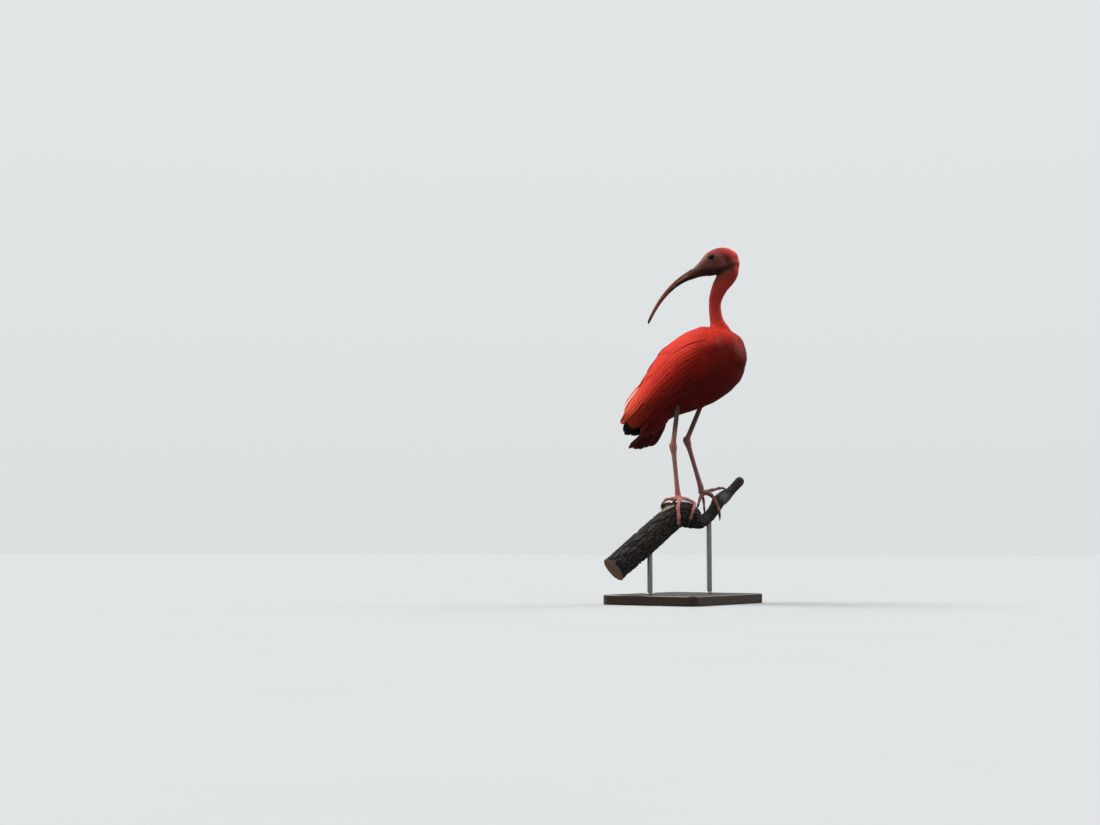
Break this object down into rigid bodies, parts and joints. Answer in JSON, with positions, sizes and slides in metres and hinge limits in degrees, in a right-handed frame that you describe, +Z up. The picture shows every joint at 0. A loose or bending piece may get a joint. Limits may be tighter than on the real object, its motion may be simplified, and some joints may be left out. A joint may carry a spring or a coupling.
{
  "type": "scarlet ibis",
  "caption": "Life-size still model of a scarlet ibis looking back over its shoulder, perched on a cut branch that a flat display stand holds up",
  "frame": {"origin": "middle of the underside of the display stand's base", "axes": "+X is the way the breast faces, +Y is the bird's left and +Z is up"},
  "size_m": [0.2671, 0.3078, 0.6738],
  "materials": {
    "face_skin": "short scarlet feathers on the crown, bare reddish skin round the eye and at the bill's base",
    "eyes": "wet and glossy",
    "bill": "worn horn, semi matt",
    "neck_feathers": "short soft feathers",
    "body_feathers": "soft overlapping feathers",
    "wing_feathers": "smooth vanes with black tips on the outermost",
    "tail_feathers": "smooth vanes",
    "leg_skin": "scaled skin, salmon pink, greyer above the ankle",
    "claws": "dark horn",
    "bark": "dark rough bark with a pale scar",
    "stand_wood": "dark stained, satin varnish",
    "stand_steel": "brushed"
  },
  "bodies": {
    "root": {"head": "face_skin", "eye_left": "eyes", "eye_right": "eyes", "bill_upper": "bill", "bill_lower": "bill", "neck_upper": "neck_feathers", "neck_lower": "neck_feathers", "torso": "body_feathers", "thigh_left": "body_feathers", "thigh_right": "body_feathers", "wing_left": "wing_feathers", "wing_right": "wing_feathers", "tail": "tail_feathers", "shank_left": "leg_skin", "shank_right": "leg_skin", "tarsus_left": "leg_skin", "tarsus_right": "leg_skin", "foot_left": "leg_skin", "foot_right": "leg_skin", "claw_left_inner": "claws", "claw_left_middle": "claws", "claw_left_outer": "claws", "claw_left_hind": "claws", "claw_right_inner": "claws", "claw_right_middle": "claws", "claw_right_outer": "claws", "claw_right_hind": "claws", "perch": "bark", "stand_base": "stand_wood", "stand_rod_left": "stand_steel", "stand_rod_right": "stand_steel"}
  },
  "joints": []
}
